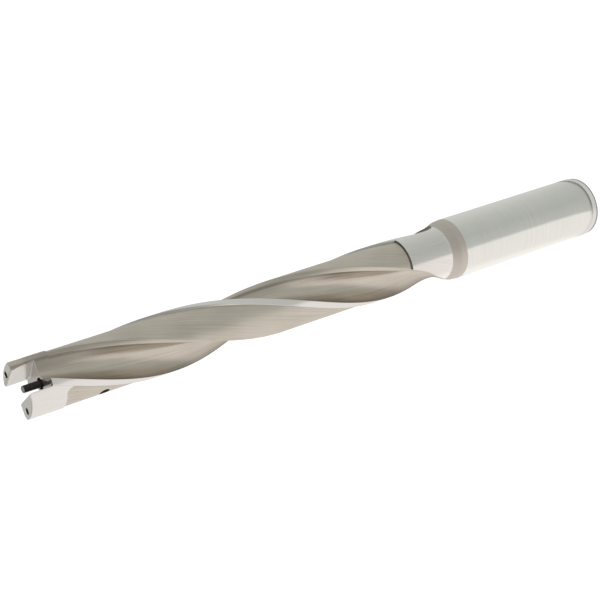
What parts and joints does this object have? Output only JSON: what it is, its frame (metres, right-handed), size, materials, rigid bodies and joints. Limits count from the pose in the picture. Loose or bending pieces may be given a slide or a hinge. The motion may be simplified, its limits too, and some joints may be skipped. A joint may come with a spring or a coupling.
{
  "type": "replaceable tip drill body",
  "caption": "Long drill body with a plain round shank, spiral flutes and a cross slot at the nose that takes a replaceable cutting tip.",
  "frame": {"origin": "middle of the flat rear face of the shank", "axes": "+Z along the tool's axis from the shank to the nose, +X along the cross slot, +Y across it"},
  "size_m": [0.0254, 0.0254, 0.272],
  "materials": {
    "body_steel": "ground and polished alloy steel",
    "pin_steel": "black oxide",
    "screw_steel": "dark hardened steel"
  },
  "bodies": {
    "root": {"drill_body": "body_steel", "pull_pin": "pin_steel", "clamp_screw": "screw_steel"}
  },
  "joints": []
}
